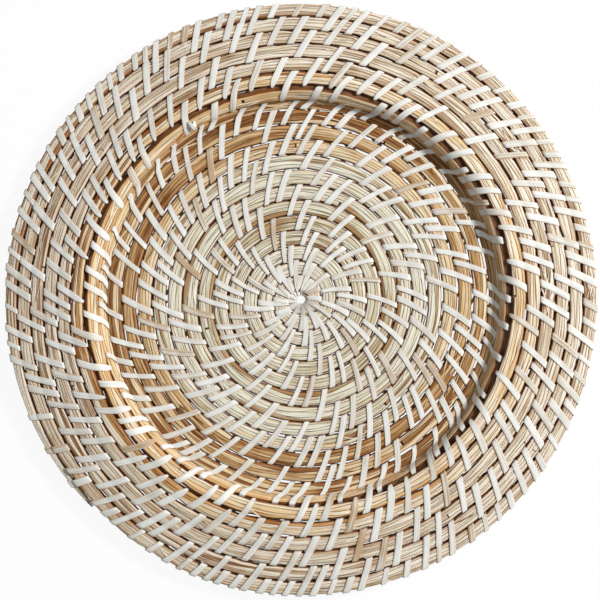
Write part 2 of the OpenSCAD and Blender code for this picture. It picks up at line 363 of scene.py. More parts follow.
# Where a strip presses on the coil, in turns, sorted: on its outer coil and on its inner one
ON_OUTER = [w.t + w.run / 4 for w in WRAPS if w.two]
ON_INNER = [w.t + w.run * 3 / 4 - 1 for w in WRAPS]
PRESSED = np.sort(np.array(ON_OUTER + ON_INNER))
PRESS_LENGTH = 2.6 * MM


def pressed(t):
    """How much the strips hold the coil down at turn t: 1 under a strip, 0 between two."""
    t = np.asarray(t, float)
    place = np.searchsorted(PRESSED, t).clip(1, len(PRESSED) - 1)
    turns = np.minimum(np.abs(t - PRESSED[place - 1]), np.abs(t - PRESSED[place]))
    return np.exp(-((turns * 2 * math.pi * coil_radius(t) / PRESS_LENGTH) ** 2))


EDGE_MARGIN = 0.02 * MM


def inside_box(points):
    """Points of the edge drawn in along the radius where they'd reach past the solids' box."""
    low, high = (np.array(corner[:2]) for corner in cad_box)
    flat = points[:, :2]
    limit = np.where(flat > 0, high, -low) - EDGE_MARGIN
    over = np.maximum(1, (np.abs(flat) / limit).max(axis=1))
    return np.column_stack([flat / over[:, None], points[:, 2]])


# Shapes swept in code, because no operator sweeps a section that changes along a climbing spiral

# Edges sharper than this stay sharp, on the splints and on the strips
SPLINT_CREASE = math.radians(38)
STRIP_CREASE = math.radians(24)


class Shape:
    """Points, faces and surface values of one piece, gathered tube by tube."""

    def __init__(self):
        self.points = []
        self.faces = []
        self.grain = []
        self.tone = []
        # Painted shade at each point, 0 none to 1 the most: darker colour that stands for the shade
        # between coils and splints
        self.painted_shade = []
        self.count = 0

    def tube(self, rings, grain, tone, painted_shade):
        """A closed tube through rings of points, each counted anticlockwise seen down the way it runs."""
        n, k, _ = rings.shape
        index = self.count + np.arange(n * k).reshape(n, k)
        beside_it = np.roll(index, -1, axis=1)
        quads = np.stack([index[:-1], index[1:], beside_it[1:], beside_it[:-1]], axis=-1)
        self.faces += quads.reshape(-1, 4).tolist()
        self.faces.append(index[0].tolist())
        self.faces.append(index[-1][::-1].tolist())
        self.points.append(rings.reshape(-1, 3))
        self.grain.append(grain.reshape(-1, 3))
        self.tone.append(np.broadcast_to(np.reshape(tone, (-1, 1)), (n, k)).reshape(-1))
        self.painted_shade.append(np.broadcast_to(painted_shade, (n, k)).reshape(-1))
        self.count += n * k

    def piece(self, name, material, crease):
        """The gathered tubes as one object that rides on the plate."""
        mesh = bpy.data.meshes.new(name)
        mesh.from_pydata(np.concatenate(self.points).tolist(), [], self.faces)
        values = {"tone": np.concatenate(self.tone), "painted_shade": np.concatenate(self.painted_shade)}
        for key, value in values.items():
            attribute = mesh.attributes.new(key, "FLOAT", "POINT")
            attribute.data.foreach_set("value", value.astype(np.float32))
        grain = np.concatenate(self.grain).astype(np.float32).ravel()
        mesh.attributes.new("grain", "FLOAT_VECTOR", "POINT").data.foreach_set("vector", grain)
        piece = bpy.data.objects.new(name, mesh)
        bpy.context.collection.objects.link(piece)
        mesh.materials.append(material)
        bpy.ops.object.select_all(action="DESELECT")
        piece.select_set(True)
        bpy.context.view_layer.objects.active = piece
        bpy.ops.object.shade_smooth_by_angle(angle=crease)
        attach(piece, "root")
        return piece


# The bundle. How far the sides of a coil swell towards the next one, above and below, how much
# of that above a strip takes away, and over what length it changes
SWELL_ABOVE = 0.42 * MM
SWELL_BELOW = 0.56 * MM
HELD_SHARE = 0.25
SWELL_LENGTH = 0.055
# Under this share of the full width a coil doesn't swell; from there on it soon does, and in
# the first turns this holds for its inner side too
THIN_COIL_SHARE = 0.5
SWELL_GROWTH = 2
FIRST_TURNS = 1.6
# Where light comes through: from this value of the change on, less in the floor, with more
# slits on one side of the plate than on the other
OPEN_FROM = 0.3
OPEN_FROM_FLOOR = 0.12
OPEN_SIDE = 0.3
OPEN_SWING = 0.3
OPEN_BLEND = 0.1
# The coils lie closer in the first turns and the last one
CLOSE_UNTIL = 8.5
CLOSE_FROM = 20.2
CLOSE_BY = 0.9
# How far a strip presses the coil down and in
PRESS_DEPTH_SHARE = 0.12
PRESS_SIDE_SHARE = 0.05
# The coil's section is flat to here and falls by this much to its sides
SHOULDER_SHARE = 0.55
SHOULDER_DROP_SHARE = 0.28

# Painted shade on the faces of a splint, round its section: in the top layer, in the layers
# between, and in the bottom layer. 0 is a face that shows flat and gets none, 1 lies deep between
# two coils and gets the most.
PAINTED_SHADE_BELOW = [0.8, 1, 1, 0.8, 0.3, 0, 0, 0, 0.3]
PAINTED_SHADE_ALL = [0.85] * 9
PAINTED_SHADE_ABOVE = [0.35, 0, 0, 0.35, 0.8, 1, 1, 1, 0.8]
# A face with more painted shade than this is hidden. The others get painted shade towards the
# groove beside the coil, from this share of the bundle's half width on, and all of them get more
# painted shade under a strip.
HIDDEN_FROM = 0.5
FACE_EDGE_SHARE = 0.76
FACE_EDGE_PAINTED_SHADE = 0.9
PRESS_PAINTED_SHADE = 0.2


class Layer:
    """Splints side by side: lane edges and heights as shares of half the coil's width and height, and the
    painted shade of each face round their section.
    """

    def __init__(self, lanes, low, high, wander, dark, swell=SWELL_BELOW, held=0):
        self.lanes = lanes
        self.low = low
        self.high = high
        self.wander = wander
        self.dark = np.array(dark)
        self.swell = swell
        self.held = held


TOP_LANES = [-0.93, -0.46, 0.02, 0.48, 0.93]
SIDE_LANES = [-1, 0, 1]
BASE_LANES = [-0.93, -0.3, 0.32, 0.93]
LAYERS = [
    Layer(TOP_LANES, 0.60, 1.0, 0.26, PAINTED_SHADE_BELOW, SWELL_ABOVE, HELD_SHARE),
    Layer(SIDE_LANES, 0.22, 0.57, 0.05, PAINTED_SHADE_ALL),
    Layer(SIDE_LANES, -0.18, 0.19, 0.05, PAINTED_SHADE_ALL),
    Layer(SIDE_LANES, -0.57, -0.21, 0.05, PAINTED_SHADE_ALL),
    Layer(BASE_LANES, -1.0, -0.60, 0.13, PAINTED_SHADE_ABOVE),
]
# Lane edges this far out are the coil's sides and wander only this much; length of the waves
SIDE_FROM = 0.9
SIDE_WANDER = 0.04
LANE_WAVE = 0.09

# Length of a splint, its least length, and the share of splints that end under a strip
SPLINT_LENGTH = (0.16, 0.42)
LEAST_SPLINT = SPLINT_LENGTH[0] / 4
TUCKED_SHARE = 0.8
# Space between the ends of two splints; the last ones end one after the other over a length
JOINT_GAP = (0.3 * MM, 1.6 * MM)
TAIL_GAP = (0, 13 * MM)
# Space between two splints side by side, and the least width of one, as a share like its lane's
SPLINT_GAP = 0.1 * MM
LEAST_WIDTH = 0.08
# How much higher or lower a splint lies, all along and in waves, and how much thinner it can be
LIFT = 0.05
LIFT_SWING = 0.03
LIFT_WAVE = 0.05
THINNER = 0.06
# Its rounded edges: chamfer as a share of its width up to a limit, bevel of its height, crown
CHAMFER_SHARE = 0.13
CHAMFER_LIMIT = 0.5
BEVEL_SHARE = 0.3
CROWN = 0.02
# The grain changes this many times slower down the coil's sides than across it
SIDE_GRAIN = 9

# Longest step between the sections of the bundle, as a length and in turns
RING_STEP = 4 * MM
RING_TURN = 1 / 64
BUNDLE_SEED = 11


class Wander:
    """A slow, smooth, random value along the coil, between about -1 and 1."""

    RATIOS = (1, 2.3)
    SPREAD = (0.7, 1.6)

    def __init__(self, dice, wave_length):
        self.waves = []
        for ratio in self.RATIOS:
            length = wave_length * dice.uniform(*self.SPREAD) / ratio
            self.waves.append((length, dice.uniform(0, 2 * math.pi)))

    def __call__(self, metres):
        waves = [np.sin(2 * math.pi * metres / length + phase) for length, phase in self.waves]
        return sum(waves) / len(waves)


def spiral_rings():
    """Turns at which the bundle has a section, close enough at every radius."""
    last = LENGTHS[-1][1]
    turns = [START_TURN]
    while turns[-1] < last:
        r = float(coil_radius(turns[-1]))
        turns.append(turns[-1] + min(RING_TURN, RING_STEP / (2 * math.pi * r)))
    turns[-1] = last
    return np.array(turns)


RINGS = spiral_rings()
RADII = coil_radius(RINGS)
METRES = np.concatenate([[0], np.cumsum(np.diff(RINGS) * 2 * math.pi * (RADII[1:] + RADII[:-1]) / 2)])


def next_strip(m):
    """Metres along the coil at the next strip that presses on it."""
    turn = np.interp(m, METRES, RINGS)
    strip = PRESSED[min(len(PRESSED) - 1, np.searchsorted(PRESSED, turn))]
    return float(np.interp(strip, RINGS, METRES))


def splint_ends(dice):
    """Metres along the coil at which the splints of one lane start and end."""
    ends = []
    start = 0
    while start < METRES[-1]:
        end = start + dice.uniform(*SPLINT_LENGTH)
        if dice.random() < TUCKED_SHARE:
            end = next_strip(end)
        end = min(max(end, start + LEAST_SPLINT), METRES[-1])
        if METRES[-1] - end < 2 * LEAST_SPLINT:
            end = METRES[-1]
        gap = JOINT_GAP if end < METRES[-1] else TAIL_GAP
        ends.append((start, end - dice.uniform(*gap)))
        start = end
    return ends


def closed(m, t, wanders):
    """How far each side of the coil is closed against the next: 1 in most places, 0 at a slit."""
    swing = OPEN_SWING * np.cos(2 * math.pi * t - OPEN_SIDE)
    start = np.where(t < RIM_FROM, OPEN_FROM_FLOOR - swing, OPEN_FROM)
    start = np.where((t < CLOSE_UNTIL) | (t > CLOSE_FROM), start + CLOSE_BY, start)
    return [1 - np.clip((wander(m) - start) / OPEN_BLEND, 0, 1) for wander in wanders]


def swelling(m, t, layer, press, wanders):
    """How far the inner and the outer side of the coil swell towards the turns beside it."""
    swell = layer.swell * (1 - layer.held * press)
    inner, outer = [swell * share for share in closed(m, t, wanders)]
    full = np.clip((coil_width(t) / COIL_W / THIN_COIL_SHARE - 1) * SWELL_GROWTH, 0, 1)
    inner = inner * np.where(t < FIRST_TURNS, full, 1)
    outer = outer * full * (gap_s(t + 1) < EDGE_S - COIL_GAP)
    return inner, outer


def frayed(t):
    """1 where a splice has frayed, falling to 0 beside it."""
    round_there = 2 * math.pi * coil_radius(t)
    away = np.min([np.abs(t - fray) for fray in FRAYS], axis=0) * round_there
    return np.clip(FRAY_REACH - away / FRAY_LENGTH, 0, 1)


def browner(t):
    """How much browner the cane is at turn t than its length's own tone."""
    change = 0 * t
    for start, end, amount in STRETCHES:
        inside = np.minimum(t - start, end - t) / STRETCH_BLEND
        change = change + amount * np.clip(inside + 0.5, 0, 1)
    return change


def shoulder(x):
    """0 on the flat of the coil, and 1 at its side."""
    return np.maximum(0, np.abs(x) - SHOULDER_SHARE) / (1 - SHOULDER_SHARE)


def splint(shape, dice, ends, edges, layer, tone, seed, wanders):
    """One splint between two lane edges, following the bundle's rounded section."""
    inside = METRES[(METRES > ends[0] + MM) & (METRES < ends[1] - MM)]
    m = np.concatenate([[ends[0]], inside, [ends[1]]])
    t = np.interp(m, METRES, RINGS)
    press = pressed(t)
    inner_swell, outer_swell = swelling(m, t, layer, press, wanders)
    half_w = coil_width(t) / 2
    half_h = coil_height(t) / 2 * (1 - PRESS_DEPTH_SHARE * press)
    gap = SPLINT_GAP / COIL_W
    left = edges[0](m) + gap
    right = np.maximum(edges[1](m) - gap, left + LEAST_WIDTH)
    lift = dice.uniform(-LIFT, LIFT) + LIFT_SWING * Wander(dice, LIFT_WAVE)(m)
    top = layer.high - THINNER * dice.random() + lift
    base = layer.low + lift
    chamfer = CHAMFER_SHARE * np.minimum(right - left, CHAMFER_LIMIT)
    bevel = BEVEL_SHARE * (layer.high - layer.low)
    across = [left, left + chamfer, right - chamfer, right,
              right, right - chamfer, (left + right) / 2, left + chamfer, left]
    up = [base + bevel, base, base, base + bevel,
          top - bevel, top, top + CROWN, top, top - bevel]
    points = []
    grain = []
    for x, y in zip(across, up):
        drop = SHOULDER_DROP_SHARE * shoulder(x) ** 2 * abs(layer.high + layer.low) / 2
        y = y * (1 - drop)
        swell = np.where(x < 0, inner_swell, outer_swell)
        r, z = beside(coil_s(t), x * (half_w * (1 - PRESS_SIDE_SHARE * press) + swell), y * half_h)
        points.append(inside_box(in_space(2 * math.pi * t, r, z)))
        sideways = x * COIL_W / 2 + y * COIL_H / SIDE_GRAIN
        grain.append(np.stack([m, sideways, np.full(len(m), seed)], axis=-1))
    # Painted shade: towards the groove beside the coil and under a strip, and at a fray where it stands
    # for the gaps between the splints
    sides = np.abs(np.stack(across, axis=1))
    edge = np.maximum(0, sides - FACE_EDGE_SHARE) / (1 - FACE_EDGE_SHARE)
    painted_shade = np.clip(layer.dark + FACE_EDGE_PAINTED_SHADE * edge * (layer.dark < HIDDEN_FROM), 0, 1)
    fray_gap_shade = FRAY_PAINTED_SHADE * dice.choice(FRAY_SHARES) * frayed(t)
    painted_shade = np.clip(painted_shade + (PRESS_PAINTED_SHADE * press + fray_gap_shade)[:, None], 0, 1)
    place = t + dice.uniform(-STRETCH_BLEND, STRETCH_BLEND)
    patchy = np.clip(tone + browner(place), 0, 1)
    shape.tube(np.stack(points, axis=1), np.stack(grain, axis=1), patchy, painted_shade)


def lane_edge(dice, place, share):
    """The edge of a lane, which wanders by that share along the coil."""
    wander = Wander(dice, LANE_WAVE)
    return lambda m: place + share * wander(m)


def lane_edges(dice, layer):
    """Edges between the lanes of a layer: the outer two rough, the others wandering more."""
    return [lane_edge(dice, place, layer.wander if abs(place) < SIDE_FROM else SIDE_WANDER)
            for place in layer.lanes]


# Tone of a splint, 0 palest to 1 brownest: mean and spread, that of the few that are much
# browner than their neighbours, and their share by material slot
SPLINT_TONE = (0.28, 0.27)
BROWN_TONE = (0.75, 1)
BROWN_SHARE = {"cane_cream": 0.06, "cane_tan": 0.14, "cane_golden": 0.12, "cane_greige": 0.12}


def splint_tone(dice, slot, change):
    if dice.random() < BROWN_SHARE[slot]:
        return dice.uniform(*BROWN_TONE)
    return limited(dice.gauss(*SPLINT_TONE) + change)


# Fibres that have come loose from the bundle and lie slantwise on it
LOOSE_FIBRES = 150
FIBRE_LENGTH = (6 * MM, 20 * MM)
FIBRE_W = (0.4 * MM, 1 * MM)
FIBRE_T = 0.18 * MM
FIBRE_TURNS = (2, 20)
FIBRE_STATIONS = 9
FIBRE_TONES = (0, 0.1, 0.2, 0.9)
# Shares of the coil's half width: how far out they start, how far they cross, bow and reach
FIBRE_START = 0.8
FIBRE_CROSS = (0.3, 1.2)
FIBRE_BOW = 0.2
FIBRE_REACH = 0.98
# Height of their middle over the coil in their own thickness, and how much their ends narrow
FIBRE_RISE = 0.6
FIBRE_TAPER = 0.8
THREAD_SECTION = [(-1, -0.5), (-0.8, 0.5), (0.8, 0.5), (1, -0.5)]


def outwards(angle, s):
    """The way square to the section's slope there."""
    lean = slope(s)
    return in_space(angle, -np.sin(lean), np.cos(lean))


def metres_along(line):
    """Lengths along a line of points."""
    return np.concatenate([[0], np.cumsum(np.linalg.norm(np.diff(line, axis=0), axis=1))])


def thread(shape, line, up, widths, thickness, tone, seed):
    """A thin flat band along a line of points, its flat facing up."""
    way = np.gradient(line, axis=0)
    across = np.cross(way, up)
    across /= np.linalg.norm(across, axis=1)[:, None]
    out = np.cross(across, way)
    out /= np.linalg.norm(out, axis=1)[:, None]
    metres = metres_along(line)
    rings = []
    grain = []
    for x, y in THREAD_SECTION:
        side_step = x * widths / 2
        rings.append(line + across * side_step[:, None] + out * y * thickness)
        grain.append(np.stack([metres, side_step, np.full(len(line), seed)], axis=-1))
    shape.tube(np.stack(rings, axis=1), np.stack(grain, axis=1), tone, 0)


def on_bundle(t, x, above):
    """Points at a share of the half width on a bundle's upper face, or above it by a length."""
    crown = 1 - SHOULDER_DROP_SHARE * shoulder(x) ** 2
    b = crown * coil_height(t) / 2 * (1 - PRESS_DEPTH_SHARE * pressed(t)) + above
    r, z = beside(coil_s(t), x * coil_width(t) / 2, b)
    return in_space(2 * math.pi * t, r, z)


def loose_fibre(shape, dice, t, tone, seed):
    """A fibre that starts at turn t and bows a little on its way across the coil."""
    share = np.linspace(0, 1, FIBRE_STATIONS)
    length = dice.uniform(*FIBRE_LENGTH)
    turns = t + share * length / turn_length(t)
    start = dice.uniform(-FIBRE_START, FIBRE_START)
    end = start + dice.choice((-1, 1)) * dice.uniform(*FIBRE_CROSS)
    bow = dice.uniform(-FIBRE_BOW, FIBRE_BOW) * np.sin(math.pi * share)
    place = np.clip(start + (end - start) * share + bow, -FIBRE_REACH, FIBRE_REACH)
    line = on_bundle(turns, place, FIBRE_T * FIBRE_RISE)
    widths = dice.uniform(*FIBRE_W) * (1 - FIBRE_TAPER * np.abs(2 * share - 1) ** 3)
    thread(shape, line, outwards(2 * math.pi * turns, coil_s(turns)), widths, FIBRE_T, tone, seed)


def length_at(t):
    """The length of the core that turn t lies in."""
    return next(length for length in LENGTHS if t <= length[1])


def make_bundle(materials):
    """The whole core, gathered into one shape for each of its lengths."""
    dice = random.Random(BUNDLE_SEED)
    shapes = {length[0]: Shape() for length in LENGTHS}
    seed = 0
    wanders = [Wander(dice, SWELL_LENGTH), Wander(dice, SWELL_LENGTH)]
    for layer in LAYERS:
        edges = lane_edges(dice, layer)
        for lane in range(len(layer.lanes) - 1):
            for ends in splint_ends(dice):
                middle = np.interp((ends[0] + ends[1]) / 2, METRES, RINGS)
                node, _, slot, change = length_at(middle)
                seed += 1
                tone = splint_tone(dice, slot, change)
                splint(shapes[node], dice, ends, edges[lane:lane + 2], layer, tone, seed, wanders)
    loose = [float(np.interp(dice.uniform(0, METRES[-1]), METRES, RINGS)) for _ in range(LOOSE_FIBRES)]
    for fray in FRAYS:
        half = FRAY_LENGTH / turn_length(fray)
        loose += [fray + dice.uniform(*FRAY_SPREAD) * half for _ in range(FRAY_FIBRES)]
    for turn in loose:
        t = min(max(turn, FIBRE_TURNS[0]), FIBRE_TURNS[1])
        seed += 1
        loose_fibre(shapes[length_at(t)[0]], dice, t, dice.choice(FIBRE_TONES), seed)
    for node, _, slot, _ in LENGTHS:
        piece = shapes[node].piece(node.replace("core", "cane"), materials[slot], SPLINT_CREASE)
        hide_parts(node)


# The strips of the lacing

# Height of a strip's middle over the coil's middle, where it lies flat
STRIP_TOP = COIL_H / 2 + 0.05 * MM
# How much wider or narrower a strip can be at each end, and its least widths near the centre
STRIP_SWELL = (0.8, 1.1)
CENTRE_STRIP_W = 3.3 * MM
CENTRE_TIP_W = 2.5 * MM
END_TAPER = 0.12
# The strips whose inner ends go down over the crest are drawn to a point there
CREST_TURNS = (15.2, 16.7)
CREST_TAPER = 0.6
CREST_POWER = 1.5
# Near the hole: turns and number of strips that overlap, the steepest they lie, and over what
# share of its width a strip comes to lie flat again
FAN_UNTIL = 2.3
FAN_BLADES = 26
FAN_SLOPE = 0.5
FAN_BLEND = 0.3
# Drops of a strip at its ends and between its two coils, and how far its legs lean
END_DROP = 0.95 * MM
VALLEY = 0.22 * MM
LEG_LEAN = 1.2 * MM
# Width of the strip beneath the coil, as a share of its width above
UNDER_SHARE = 0.8
# Stations over one side of a wrap: coils from the outer gap, and the drop below the strip's top
RISE = [(0, END_DROP), (0.02, 0.5 * END_DROP), (0.07, 0.2 * END_DROP), (0.15, 0.06 * END_DROP)]
OUTER_COIL = [(0.3, 0), (0.5, 0), (0.7, 0), (0.88, 0.6 * VALLEY), (1, VALLEY), (1.12, 0.6 * VALLEY)]
INNER_COIL = [(1.3, 0), (1.5, 0), (1.7, 0)] + [(2 - coils, drop) for coils, drop in reversed(RISE)]
OVER_TWO = RISE + OUTER_COIL + INNER_COIL
OVER_ONE = [(1 + coils, drop) for coils, drop in RISE] + INNER_COIL
# Up to this turn the edge wraps hold the tail of the last turn too
TAIL_HELD = END_TURN - 1 + LAST_SHARE - 0.012
# The strip's own section: across it, out of its flat, and the painted shade on it there, most on its sides
STRIP_SECTION = [
    (-1, -0.35, 0.8), (-1, 0.3, 0.8), (-0.9, 0.5, 0.25), (-0.45, 0.58, 0), (0, 0.6, 0), (0.45, 0.58, 0),
    (0.9, 0.5, 0.25), (1, 0.3, 0.8), (1, -0.35, 0.8), (0.9, -0.5, 0.25), (-0.9, -0.5, 0.25),
]
# Painted shade on a strip where it goes down between the coils
DOWN_PAINTED_SHADE = 0.3
# Mean and spread of the strips' tone, the share of brown ones, the most that one lies higher, in
# millimetres, and how much further on the grain of the next one starts
STRIP_TONE = (0.32, 0.2)
BROWN_STRIPS = 0.04
MOST_LIFT = 0.12
GRAIN_STEP = 0.06
LACING_SEED = 5


def strip_s(turn, coils):
    """Length along the section at a place counted in coils inwards from the outer gap."""
    out = gap_s(turn + 1)
    middle = gap_s(turn)
    inner = gap_s(turn - 1)
    return np.where(coils < 1, out + (middle - out) * coils, middle + (inner - middle) * (coils - 1))


def strip_height(turn, coils):
    """Thickness of the coil that the strip lies on there, as a share of the full thickness."""
    return coil_height(np.where(coils < 1, turn, np.maximum(turn - 1, START_TURN))) / COIL_H


def stations(wrap):
    """Coils from the outer gap, drop and share of the sideways run at each station over a wrap."""
    held = wrap.two or wrap.t < TAIL_HELD
    coils, drop = np.array(OVER_TWO if held else OVER_ONE, float).T
    # The sideways run keeps step with the radius, so that seen from above the strip lies straight
    radii = beside(strip_s(wrap.t, coils), 0, 0)[0]
    return coils, drop, (radii[0] - radii) / (radii[0] - radii[-1])


def over_widths(wrap, coils, drop, share, swell):
    """Widths along the top of a wrap: flat on top, a little narrower where it goes down at its ends."""
    wide = max(outer_w(wrap.t), CENTRE_STRIP_W)
    thin = max(inner_w(wrap.t), CENTRE_TIP_W)
    taper = 1 - END_TAPER * (drop > VALLEY) * drop / END_DROP
    if CREST_TURNS[0] < wrap.t < CREST_TURNS[1]:
        # From the middle of the inner coil, at 1.5 coils, to its far side
        taper *= 1 - CREST_TAPER * np.clip(2 * coils - 3, 0, 1) ** CREST_POWER
    return (wide + (thin - wide) * share) * taper * (swell[0] + (swell[1] - swell[0]) * share)


def strip_path(wrap, next_wrap, lift, swell):
    """Turn, coils, height and width along one wrap: up, over the top, down and back beneath."""
    coils, drop, share = stations(wrap)
    over = wrap.start + (wrap.end - wrap.start) * share
    under_coils, under_drop, under_share = (part[::-1] for part in stations(next_wrap))
    next_turn = next_wrap.start if next_wrap is not wrap else wrap.start + 1 / wraps_near(wrap.t)
    leg = min(LEG_LEAN / turn_length(wrap.t + 1), (next_turn - wrap.end) / 4)
    under = next_turn - leg + (wrap.end - next_turn + 2 * leg) * under_share
    turns = np.concatenate([[over[0] - leg / 2], over, under])
    places = np.concatenate([coils[:1], coils, under_coils])
    top = STRIP_TOP + lift - drop
    heights = np.concatenate([-top[:1], top, under_drop - STRIP_TOP - lift])
    above = over_widths(wrap, coils, drop, share, swell)
    beneath = UNDER_SHARE * (outer_w(wrap.t) + (inner_w(wrap.t) - outer_w(wrap.t)) * under_share)
    widths = np.concatenate([UNDER_SHARE * above[:1], above, beneath])
    return turns, places, heights, widths


def fan_slope(wrap, r, heights, widths):
    """Sideways slope near the hole, where the strips lie on each other like the blades of a fan."""
    if wrap.t >= FAN_UNTIL:
        return 0 * r
    step = 2 * math.pi * np.maximum(r, HOLE_R) / FAN_BLADES
    steep = STRIP_T / step * np.clip((widths - step) / (FAN_BLEND * widths), 0, 1)
    return np.where(heights > 0, np.minimum(steep, FAN_SLOPE), 0)


def lay_strip(shape, wrap, path, tone, seed):
    """A flat strip along a path, its width lying along the coil."""
    turns, places, heights, widths = path
    r, z = beside(strip_s(turns, places), 0, heights * strip_height(turns, places))
    angle = 2 * math.pi * turns
    centre = in_space(angle, r, z)
    width_way = np.stack([-np.sin(angle), np.cos(angle), 0 * angle], axis=-1)
    out = np.cross(width_way, np.gradient(centre, axis=0))
    out /= np.linalg.norm(out, axis=1)[:, None]
    fan = fan_slope(wrap, r, heights, widths)
    along = seed * GRAIN_STEP + metres_along(centre)
    rings = []
    grain = []
    for x, y, _ in STRIP_SECTION:
        across = x * widths / 2
        turned = across / np.maximum(r, HOLE_R)
        point = in_space(angle + turned, r, z) + out * (y * STRIP_T + across * fan)[:, None]
        rings.append(inside_box(point))
        grain.append(np.stack([along, across, np.full(len(r), seed)], axis=-1))
    # Painted shade on the strip's sides and edges, and more where it goes down between the coils
    edge = np.array([dark for _, _, dark in STRIP_SECTION])
    painted_down_shade = np.clip(1 - heights / STRIP_TOP, 0, 1)[:, None] * DOWN_PAINTED_SHADE
    shape.tube(np.stack(rings, axis=1), np.stack(grain, axis=1), tone, np.clip(edge + painted_down_shade, 0, 1))


# Narrow wraps over the last turn alone, one in each space at the edge that is at least this wide
NARROW_SPACE = 14 * MM
NARROW_SWELL = (0.66, 0.8)
NARROW_TONE = (0.45, 0.22)


def narrow_wraps():
    """The strip goes round the edge again between the wraps that lace the last turn."""
    at_edge = [w.start + 1 for w in WRAPS if w.two and w.t > END_TURN - 2 + LAST_SHARE]
    at_edge = sorted(at_edge + [w.start for w in WRAPS if w.t > END_TURN - 1 + LAST_SHARE])
    round_edge = turn_length(END_TURN)
    wraps = []
    for here, there in zip(at_edge, at_edge[1:]):
        count = int((there - here) * round_edge / NARROW_SPACE)
        for k in range(1, count + 1):
            wraps.append(Wrap(here + (there - here) * k / (count + 1) - run(here) / 2))
    return wraps


# The one knot, where a strip of the lacing ran out: its place in turns, its size and the angles
# of its bands, and how much longer and browner each band is than the one before
KNOT_TURN = 14.339
KNOT_R = 2.3 * MM
KNOT_W = 2.1 * MM
KNOT_RISE = 1 * MM
KNOT_ANGLES = (0.5, 2.5, 1.4)
KNOT_GROWTH = 0.25
KNOT_TONE = 0.2
KNOT_TAPER = 0.3
KNOT_STATIONS = 9


def tie_knot(shape, seed):
    """Short bands that cross on top of a strip, each arched over the one before."""
    share = np.linspace(-1, 1, KNOT_STATIONS)
    centre = on_bundle(np.array([KNOT_TURN]), 0, STRIP_T)[0]
    angle = 2 * math.pi * KNOT_TURN
    up = outwards(np.array([angle]), coil_s(np.array([KNOT_TURN])))[0]
    along = np.array([-math.sin(angle), math.cos(angle), 0])
    out = np.cross(along, up)
    for k, turn in enumerate(KNOT_ANGLES):
        way = math.cos(turn) * along + math.sin(turn) * out
        rise = (1 - share ** 2) * (KNOT_RISE + k * STRIP_T)
        line = centre + way * (share * KNOT_R * (1 + KNOT_GROWTH * k))[:, None] + up * rise[:, None]
        widths = KNOT_W * (1 - KNOT_TAPER * share ** 2)
        ups = np.tile(up, (KNOT_STATIONS, 1))
        thread(shape, line, ups, widths, STRIP_T, KNOT_TONE * k, seed + k)


def lacing_node(turn):
    return "lacing_turn_%02d" % turn


def make_lacing(material):
    """Every strip of the lacing, gathered into one shape for each turn."""
    dice = random.Random(LACING_SEED)
    nodes = [lacing_node(k) for k in range(1, END_TURN)] + ["edge_wraps"]
    shapes = {node: Shape() for node in nodes}
    for i, wrap in enumerate(WRAPS):
        node = lacing_node(math.floor(wrap.t)) if wrap.two else "edge_wraps"
        tone = limited(dice.gauss(*STRIP_TONE))
        if dice.random() < BROWN_STRIPS:
            tone = dice.uniform(*BROWN_TONE)
        lift = dice.uniform(0, MOST_LIFT) * MM
        swell = (dice.uniform(*STRIP_SWELL), dice.uniform(*STRIP_SWELL))
        next_wrap = WRAPS[min(i + 1, len(WRAPS) - 1)]
        lay_strip(shapes[node], wrap, strip_path(wrap, next_wrap, lift, swell), tone, i)
    tie_knot(shapes[lacing_node(math.floor(KNOT_TURN))], len(WRAPS))
    for i, wrap in enumerate(narrow_wraps(), len(WRAPS) + len(KNOT_ANGLES)):
        tone = limited(dice.gauss(*NARROW_TONE))
        swell = (dice.uniform(*NARROW_SWELL), dice.uniform(*NARROW_SWELL))
        lay_strip(shapes["edge_wraps"], wrap, strip_path(wrap, wrap, 0, swell), tone, i)
    for node in nodes:
        piece = shapes[node].piece(node.replace("lacing", "strips"), material, STRIP_CREASE)
        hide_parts(node)


# Finishes

def linear(red, green, blue):
    """A colour as seen, 0 to 255, in the shader's own light values."""
    shares = [c / 255 for c in (red, green, blue)]
    return [c / 12.92 if c <= 0.04045 else ((c + 0.055) / 1.055) ** 2.4 for c in shares] + [1]


class Nodes:
    """Short calls for building a material or a group."""

    def __init__(self, tree):
        self.tree = tree

    def add(self, kind, **settings):
        node = self.tree.nodes.new(kind)
        for key, value in settings.items():
            setattr(node, key, value)
        return node

    def join(self, source, target):
        self.tree.links.new(source, target)

    def feed(self, node, values):
        for key, value in values.items():
            if isinstance(value, bpy.types.NodeSocket):
                self.join(value, node.inputs[key])
            else:
                node.inputs[key].default_value = value
        return node

    def math(self, operation, a, b, clamp=False):
        node = self.add("ShaderNodeMath", operation=operation, use_clamp=clamp)
        return self.feed(node, {0: a, 1: b}).outputs[0]

    def mix(self, share, a, b, blend="MIX"):
        node = self.add("ShaderNodeMix", data_type="RGBA", blend_type=blend)
        return self.feed(node, {0: share, 6: a, 7: b}).outputs[2]

    def spread(self, value, low, high, new_low=0, new_high=1):
        node = self.add("ShaderNodeMapRange")
        return self.feed(node, {0: value, 1: low, 2: high, 3: new_low, 4: new_high}).outputs[0]

    def noise(self, vector, scale, detail, roughness):
        node = self.add("ShaderNodeTexNoise")
        self.feed(node, {"Vector": vector, "Scale": scale, "Detail": detail, "Roughness": roughness})
        return node.outputs[0]

    def stretched(self, vector, scale):
        node = self.add("ShaderNodeMapping")
        return self.feed(node, {"Vector": vector, "Scale": scale}).outputs[0]

    def ramp(self, value, stops):
        node = self.add("ShaderNodeValToRGB")
        elements = node.color_ramp.elements
        while len(elements) < len(stops):
            elements.new(0.5)
        for element, (place, colour) in zip(elements, stops):
            element.position = place
            element.color = colour
        return self.feed(node, {0: value}).outputs[0]


